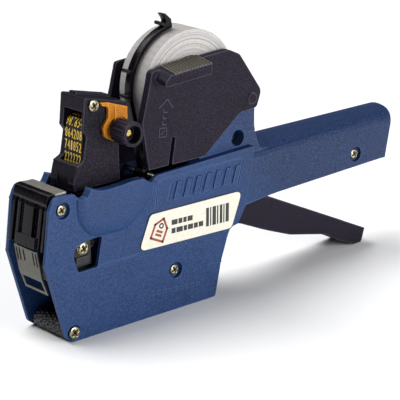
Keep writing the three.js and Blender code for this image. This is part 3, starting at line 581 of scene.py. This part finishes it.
def loop_lines(sheet, work, corners, width, height):
    """An outline drawn as strokes that meet at its corners."""
    for index, corner in enumerate(corners):
        after = corners[(index + 1) % len(corners)]
        step = (Vector(after) - Vector(corner)).normalized() * width / 2
        sheet.line(work, tuple(Vector(corner) - step), tuple(Vector(after) + step), width, height)


# -- printed side labels --

LABEL_LEAN = 7.7 * MM    # how far the label's top edge is set back from its bottom edge
LABEL_FALL = 1.8 * MM    # how far its bottom edge drops over its length
INK = 0.05 * MM
ART_SHIFT = 5 * MM       # the right label leans the other way, so its artwork starts nearer its end
SHADOW_RIM_WIDTH = 0.45 * MM     # how far the painted shadow shows round a label
SHADOW_RIM_DROP = 0.06 * MM


def label_sheet(node):
    """The label's artwork plane, with u running from the end that reads first."""
    low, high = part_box(node)
    along = Vector((high.x - low.x - LABEL_LEAN, -LABEL_FALL))
    if high.y < 0:
        return Flat((low.x, low.z + LABEL_FALL), along, low.y, -1)
    return Flat((high.x - LABEL_LEAN + ART_SHIFT, low.z), -along, high.y, 1)


def price_tag(sheet, work, u, v):
    """A plain hang tag: a five-sided outline with a ring for its hole and two lines of writing."""
    tall, half, shoulder = 11.4 * MM, 4.2 * MM, 4.2 * MM
    stroke = 1.25 * MM
    lean = math.radians(-24)

    def spin(across, up):
        return (
            u + across * math.cos(lean) - up * math.sin(lean),
            v + across * math.sin(lean) + up * math.cos(lean),
        )

    edge = [
        (-half, -tall / 2), (half, -tall / 2), (half, tall / 2 - shoulder), (0, tall / 2),
        (-half, tall / 2 - shoulder),
    ]
    loop_lines(sheet, work, [spin(*corner) for corner in edge], stroke, INK)
    hole, hole_up, hole_stroke = 1.15 * MM, 1.9 * MM, 0.7 * MM
    twelfths = [step * math.pi / 6 for step in range(12)]
    ring = [(hole * math.cos(angle), hole_up + hole * math.sin(angle)) for angle in twelfths]
    loop_lines(sheet, work, [spin(*corner) for corner in ring], hole_stroke, INK)
    line_half = 2.1 * MM
    for up in (-3.1 * MM, -1.2 * MM):
        sheet.line(work, spin(-line_half, up), spin(line_half, up), stroke, INK)


def label_shadow_rim(node):
    """A painted shadow round the label: the same outline a little larger and thinner, dark as the shade at
    the label's edge.
    """
    low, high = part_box(node)
    middle = (low + high) / 2
    outward = -1 if high.y < 0 else 1
    size = high - low
    grow = Vector(((size.x + 2 * SHADOW_RIM_WIDTH) / size.x, 1, (size.z + 2 * SHADOW_RIM_WIDTH) / size.z))
    work = bmesh.new()
    work.from_mesh(NODES[node].data)
    for vertex in work.verts:
        vertex.co = middle + (vertex.co - middle) * grow
        vertex.co.y -= outward * SHADOW_RIM_DROP
    dress(from_bmesh(f"{node}_edge", work), "housing", "painted_label_shadow")


TAG_MIDDLE = (12.2 * MM, 9 * MM)

# In millimetres: each row of words as its height and its words' widths, and each stripe's width and gap.
WORD_START, WORD_TALL, WORD_GAP = 19.6, 2.7, 0.6
WORD_ROWS = ((9.7, (3.9, 2.6, 2.2, 3.4)), (5.2, (2.6, 4.2, 2.2, 3.4, 2.6, 3)))
STRIPE_START, STRIPE_FOOT, STRIPE_TALL = 42.6, 4.2, 10
STRIPES = ((1.9, 0.8), (0.8, 0.8), (2.4, 0.7), (0.9, 1), (1.7, 0.7), (0.8, 0.8), (2.2, 0))


def label_art(node):
    """A hang tag, two rows of plain bars for words, and a set of stripes."""
    sheet = label_sheet(node)
    icon = bmesh.new()
    price_tag(sheet, icon, *TAG_MIDDLE)
    dress(from_bmesh(f"{node}_tag", icon), "housing", "icon_ink")
    words = bmesh.new()
    for v, widths in WORD_ROWS:
        u = WORD_START
        for width in widths:
            sheet.bar(words, u * MM, v * MM, width * MM, WORD_TALL * MM, INK)
            u += width + WORD_GAP
    stripe = STRIPE_START
    for width, gap in STRIPES:
        sheet.bar(words, stripe * MM, STRIPE_FOOT * MM, width * MM, STRIPE_TALL * MM, INK)
        stripe += width + gap
    dress(from_bmesh(f"{node}_bars", words), "housing", "text_ink")


# -- raised marks moulded into the plastic --

def roll_cover_marks():
    """A threading arrow with a column of plain pads, raised on the roll cover's face."""
    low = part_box("roll_cover")[0]
    lean = math.radians(8)
    foot = (low.x + 10 * MM, low.z + 16 * MM)
    sheet = Flat(foot, (math.cos(lean), -math.sin(lean)), COVER_FACE, -1)
    work = bmesh.new()
    rise = 0.28 * MM
    for start, end in (((-1.6, 14.6), (3.2, 19.2)), ((3.2, 19.2), (7.4, 14.6))):
        sheet.line(work, [c * MM for c in start], [c * MM for c in end], 0.75 * MM, rise)
    side = 4.6 * MM
    loop_lines(sheet, work, [(0, 0), (side, 0), (side, side), (0, side)], 0.5 * MM, rise)
    sheet.line(work, (1 * MM, 1.2 * MM), (3.6 * MM, 3.4 * MM), 0.6 * MM, rise)
    for row in range(3):
        u, v = 1.1 * MM, (6 + 3.1 * row) * MM
        sheet.bar(work, u, v, 3 * MM, 0.6 * MM, rise)
        sheet.bar(work, u, v, 0.6 * MM, 2 * MM, rise)
    piece = soften(from_bmesh("roll_cover_marks", work), 0.1 * MM, 1)
    dress(piece, "roll_cover", "black_plastic")


# In millimetres, from the left label's low end and top edge.
BARS, BAR_START, BAR_PITCH = 7, 21.4, 6.6
BAR_FOOT, BAR_WIDE, BAR_TALL, BAR_LEAN, BAR_RISE = 4.7, 3.4, 9, 3, 0.75
DASHES, DASH_START, DASH_PITCH = 9, 6, 3.7
DASH_DROP, DASH_SLOPE, DASH_TALL, DASH_RISE = 43.4, 0.3, 2.2, 0.15


def side_bars():
    """Slanted bars and a row of short dashes, raised on both side faces of the housing."""
    low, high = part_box("left_label")
    foot, top = BAR_FOOT * MM, (BAR_FOOT + BAR_TALL) * MM
    lean, wide = BAR_LEAN * MM, BAR_WIDE * MM
    for side, face in (("left", -HALF_WIDTH), ("right", HALF_WIDTH)):
        outward = -1 if face < 0 else 1
        sheet = Flat((low.x, high.z), (1, 0), face, outward)
        work = bmesh.new()
        for bar in range(BARS):
            u = (BAR_START + BAR_PITCH * bar) * MM
            corners = [(u, foot), (u + wide, foot), (u + wide + lean, top), (u + lean, top)]
            sheet.fill(work, corners, BAR_RISE * MM)
        piece = soften(from_bmesh(f"{side}_raised_bars", work), 0.24 * MM, 2)
        dress(piece, "housing", "housing_blue")
        dashes = bmesh.new()
        for dash in range(DASHES):
            u = (DASH_START + DASH_PITCH * dash) * MM
            v = -(DASH_DROP + DASH_SLOPE * dash) * MM
            wide_dash = (1.6 + 0.5 * (dash % 3)) * MM
            sheet.bar(dashes, u, v, wide_dash, DASH_TALL * MM, DASH_RISE * MM)
        piece = soften(from_bmesh(f"{side}_dashes", dashes), 0.08 * MM, 1)
        dress(piece, "housing", "housing_blue")


# -- type bands' raised digits --

BAND_TOP_RADIUS = 5.3 * MM
BAND_TIP_RADIUS = 3.3 * MM
DIGIT_PITCH = 6.0 * MM
DIGIT_TALL = 4.7 * MM
DIGIT_WIDE = 1.75 * MM
DIGIT_RISE = 0.16 * MM
DIGIT_ROWS = 11
FIRST_ROW_UP = 8.4 * MM    # the first row's height over the band's straight front, round its top
DIGIT_WELD = 0.001 * MM
ONE_WIDTH = 0.6            # the digit 1 is this share of the others' width


def digit_shapes():
    """The ten digits as thin solid meshes, each scaled to one type width and height about its middle."""
    shapes = []
    for digit in "0123456789":
        curve = bpy.data.curves.new(f"digit_{digit}", "FONT")
        curve.body = digit
        curve.size = 1
        curve.extrude = 0.5
        curve.resolution_u = 2
        holder = new_piece(f"digit_{digit}", curve)
        mesh = bpy.data.meshes.new_from_object(holder.evaluated_get(bpy.context.evaluated_depsgraph_get()))
        bpy.data.objects.remove(holder)
        corners = [vertex.co.copy() for vertex in mesh.vertices]
        low = Vector([min(corner[axis] for corner in corners) for axis in range(3)])
        high = Vector([max(corner[axis] for corner in corners) for axis in range(3)])
        foot = Vector(((low.x + high.x) / 2, (low.y + high.y) / 2, low.z))
        wide = DIGIT_WIDE * (ONE_WIDTH if digit == "1" else 1)
        scale = Vector((wide / (high.x - low.x), DIGIT_TALL / (high.y - low.y), 1))
        placed = [(corner - foot) * scale for corner in corners]
        shapes.append((placed, [tuple(face.vertices) for face in mesh.polygons]))
    return shapes


def band_path(node):
    """Where a distance up the band's front lies, in X-Z, with the way out of the band there."""
    low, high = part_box(node)
    top = Vector((high.x - BAND_TOP_RADIUS, high.z - BAND_TOP_RADIUS))
    tip = Vector((low.x + BAND_TIP_RADIUS, low.z + BAND_TIP_RADIUS))
    front = math.pi - math.atan2(top.x - tip.x, top.y - tip.y)
    out = Vector((math.cos(front), math.sin(front)))
    start = tip + out * BAND_TIP_RADIUS
    end = top + out * BAND_TOP_RADIUS
    length = (end - start).length

    def point(distance):
        if distance > length:
            angle = front - (distance - length) / BAND_TOP_RADIUS
            way = Vector((math.cos(angle), math.sin(angle)))
            return top + way * BAND_TOP_RADIUS, way
        if distance < 0:
            angle = front - distance / BAND_TIP_RADIUS
            way = Vector((math.cos(angle), math.sin(angle)))
            return tip + way * BAND_TIP_RADIUS, way
        return start.lerp(end, distance / length), out

    return point, length


def band_digits(node, number, shapes):
    """Raised digits round the front, the tip and the top of one type band."""
    low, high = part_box(node)
    middle = (low.y + high.y) / 2
    point, length = band_path(node)
    work = bmesh.new()
    for row in range(DIGIT_ROWS):
        centre = length + FIRST_ROW_UP - row * DIGIT_PITCH
        corners, faces = shapes[(row * 3 + number * (row % 4)) % 10]
        placed = []
        for corner in corners:
            spot, way = point(centre + corner.y)
            spot = spot + way * (corner.z * DIGIT_RISE - SUNK)
            placed.append(work.verts.new((spot.x, middle - corner.x, spot.y)))
        for face in faces:
            work.faces.new([placed[index] for index in face])
    bmesh.ops.remove_doubles(work, verts=work.verts, dist=DIGIT_WELD)
    dress(from_bmesh(f"{node}_digits", work), "print_head", "digit_ink")


# -- screws and the studded roller --

SCREW_TURN = 0.5             # radians: how far each cross recess is turned
SCREW_RINGS, SCREW_SPOKES = 18, 48
DOME = 0.55 * MM
HEAD_DEEP = 1.5 * MM
SHANK_RADIUS = 1.4 * MM
RECESS_DEEP = 1.1 * MM


def turned(x, z, angle):
    return x * math.cos(angle) - z * math.sin(angle), x * math.sin(angle) + z * math.cos(angle)


def domed_screw(node):
    """A pan head with a domed face and a cross recess sunk in it, on a plain shank."""
    low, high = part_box(node)
    axis = Vector(((low.x + high.x) / 2, 0, (low.z + high.z) / 2))
    radius = (high.z - low.z) / 2
    arm_half, arm_long = 0.15 * radius, 0.66 * radius
    slope = 0.09 * radius

    def within(distance, limit):
        return min(1, max(0, (limit + slope - distance) / slope))

    def depth(x, z):
        away = math.hypot(x, z) / radius
        narrow, long = sorted((abs(x), abs(z)))
        cross = within(narrow, arm_half) * within(long, arm_long)
        return DOME * away ** 2.6 + RECESS_DEEP * cross * (1 - 0.35 * away)

    angles = [2 * math.pi * spoke / SCREW_SPOKES for spoke in range(SCREW_SPOKES)]
    work = bmesh.new()
    crown = work.verts.new((axis.x, low.y + depth(0, 0), axis.z))
    loops = []
    for ring in range(1, SCREW_RINGS + 1):
        reach = radius * ring / SCREW_RINGS
        loop = []
        for angle in angles:
            x, z = reach * math.cos(angle), reach * math.sin(angle)
            y = low.y + depth(*turned(x, z, -SCREW_TURN))
            loop.append(work.verts.new((axis.x + x, y, axis.z + z)))
        loops.append(loop)
    for reach, y in ((radius, low.y + HEAD_DEEP), (SHANK_RADIUS, low.y + HEAD_DEEP), (SHANK_RADIUS, high.y)):
        rim = [(axis.x + reach * math.cos(angle), y, axis.z + reach * math.sin(angle)) for angle in angles]
        loops.append([work.verts.new(corner) for corner in rim])
    for spoke in range(SCREW_SPOKES):
        work.faces.new((crown, loops[0][spoke], loops[0][(spoke + 1) % SCREW_SPOKES]))
    for inner, outer in zip(loops, loops[1:]):
        for spoke in range(SCREW_SPOKES):
            after = (spoke + 1) % SCREW_SPOKES
            work.faces.new((inner[spoke], outer[spoke], outer[after], inner[after]))
    work.faces.new(loops[-1])
    piece = smooth(from_bmesh(f"{node}_domed", work))
    dress(piece, BODY_OF[node], "screw_metal", [node])

    # A dark cross at the bottom of the recess: painted shade where the recess is deep.
    floor = bmesh.new()
    shade_long, shade_half = 0.95 * arm_long, 1.25 * arm_half
    for along, across in ((shade_long, shade_half), (shade_half, shade_long)):
        corners = [(-along, -across), (along, -across), (along, across), (-along, across)]
        corners = [turned(x, z, SCREW_TURN) for x, z in corners]
        placed = [(axis.x + x, axis.z + z) for x, z in corners]
        prism(floor, placed, low.y + 0.5 * RECESS_DEEP, low.y + HEAD_DEEP - 0.1 * MM)
    dress(from_bmesh(f"{node}_recess", floor), BODY_OF[node], "painted_recess_shade")


STUDS_ROUND, STUD_ROWS, STUD_STEPS = 12, 9, 6
STUD_RISE = 0.7 * MM
ROLLER_BORE = 1.8 * MM


def studded_roller():
    """The applicator roller: a soft sleeve covered with staggered round studs."""
    low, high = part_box("applicator_roller")
    middle = (low + high) / 2
    radius = (high.z - low.z) / 2
    spokes, slices = STUDS_ROUND * STUD_STEPS, STUD_ROWS * STUD_STEPS
    work = bmesh.new()
    loops = []

    def loop(y, reach_at):
        ring = []
        for spoke in range(spokes):
            angle = 2 * math.pi * spoke / spokes
            reach = reach_at(spoke)
            x, z = middle.x + reach * math.cos(angle), middle.z + reach * math.sin(angle)
            ring.append(work.verts.new((x, y, z)))
        loops.append(ring)

    loop(low.y, lambda spoke: radius - STUD_RISE)
    for part in range(1, slices):
        along = part / STUD_STEPS
        shift = 0.5 * (int(along) % 2)

        def stud(spoke, along=along, shift=shift):
            across = math.cos(2 * math.pi * (spoke / STUD_STEPS + shift)) * 0.5 + 0.5
            down = math.sin(math.pi * (along % 1)) ** 2
            return radius - STUD_RISE * (1 - min(1, 1.5 * (across * down) ** 1.5))

        loop(low.y + (high.y - low.y) * part / slices, stud)
    loop(high.y, lambda spoke: radius - STUD_RISE)
    loop(high.y, lambda spoke: ROLLER_BORE)
    loop(low.y, lambda spoke: ROLLER_BORE)
    for first, second in zip(loops, loops[1:] + loops[:1]):
        for spoke in range(spokes):
            after = (spoke + 1) % spokes
            work.faces.new((first[spoke], second[spoke], second[after], first[after]))
    piece = smooth(from_bmesh("applicator_roller_sleeve", work))
    dress(piece, "applicator_roller", "stud_rubber", ["applicator_roller"])


# -- finger tab, tower foot and bracket --

def tab_ridges():
    """Rounded grip ridges across the leaning top of the roll cover's tab, painted paler as a highlight."""
    lean = (
        Matrix.Translation(TAB_HINGE)
        @ Matrix.Rotation(-TAB_RISE, 4, "Y")
        @ Matrix.Rotation(TAB_LEAN, 4, "X")
    )
    profile = [
        (0.55, -0.12), (0.55, 0.3), (0.42, 0.56), (0, 0.66), (-0.42, 0.56), (-0.55, 0.3), (-0.55, -0.12),
    ]
    work = bmesh.new()
    for ridge in range(TAB_RIDGES):
        x = TAB_FIRST_RIDGE + ridge * TAB_RIDGE_PITCH
        prism(work, [(x + across * MM, up * MM) for across, up in profile], TAB_FRONT, TAB_BACK)
    bmesh.ops.transform(work, matrix=lean, verts=work.verts)
    dress(from_bmesh("roll_cover_ridges", work), "roll_cover", "ridge_painted_highlight")


def tower_cove():
    """The concave sweep from the back of the housing's tower down to the handle's crown."""
    reach = 9 * MM
    overlap, root = 0.15 * MM, 1.5 * MM    # how far the sweep's edges and its block are set in the housing
    stations, steps = 24, 10
    work = bmesh.new()
    loops = []
    for station in range(stations + 1):
        y = TOWER_HALF * (2 * station / stations - 1)
        crown = HANDLE_SHOULDER + (HANDLE_TOP - HANDLE_SHOULDER) * math.sqrt(1 - (y / HANDLE_HALF) ** 2)
        foot, wall = crown - overlap, TOWER_BACK - overlap
        loop = [(wall - root, foot - root), (wall - root, foot + reach)]
        for step in range(steps + 1):
            angle = math.pi / 2 * step / steps
            loop.append((wall + reach * (1 - math.cos(angle)), foot + reach * (1 - math.sin(angle))))
        loop.append((wall + reach, foot - root))
        loops.append([work.verts.new((x, y, z)) for x, z in loop])
    for first, second in zip(loops, loops[1:]):
        for index in range(len(first)):
            after = (index + 1) % len(first)
            work.faces.new((first[index], second[index], second[after], first[after]))
    work.faces.new(loops[0])
    work.faces.new(loops[-1][::-1])
    piece = soften(from_bmesh("tower_cove", work), 0.2 * MM, 2, 50)
    dress(piece, "housing", "housing_blue")


def bracket_crease():
    """The folded ridge down the orange bracket's face."""
    low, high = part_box("selector_bracket")
    work = bmesh.new()
    ridge = [(0, 0), (0.9, 0), (1.3, 4.2), (1, 8), (0.1, 8.2), (0.4, 4.2)]
    foot = (high.x - 8.4 * MM, high.z - 10.6 * MM)
    corners = [(foot[0] + x * MM, foot[1] + z * MM) for x, z in ridge]
    prism(work, corners, low.y - 0.45 * MM, low.y + 0.1 * MM)
    piece = soften(from_bmesh("bracket_crease", work), 0.2 * MM, 2)
    dress(piece, "print_head", "orange_plastic")


make_camera()
make_world()
make_light("front_box", direction=(0.22, -0.94, 0.22), distance=1.2, size=0.8, power=12.6)
make_sun(direction=(-0.2, 0.42, 0.88), spread=50, strength=3.15)
make_floor()
bpy.context.scene.view_settings.view_transform = "Standard"

for look, (width, names) in ROUNDED.items():
    for name in names:
        moulded(name, look, width * MM)
for screw in SCREWS:
    domed_screw(screw)
studded_roller()
for label in ("left_label", "right_label"):
    label_shadow_rim(label)
    label_art(label)
roll_cover_marks()
tab_ridges()
side_bars()
tower_cove()
bracket_crease()
DIGITS = digit_shapes()
for number in range(1, 7):
    band_digits(f"type_band_{number}", number, DIGITS)
NODES["trigger_spring"].data.materials.clear()
NODES["trigger_spring"].data.materials.append(LOOKS["steel"])
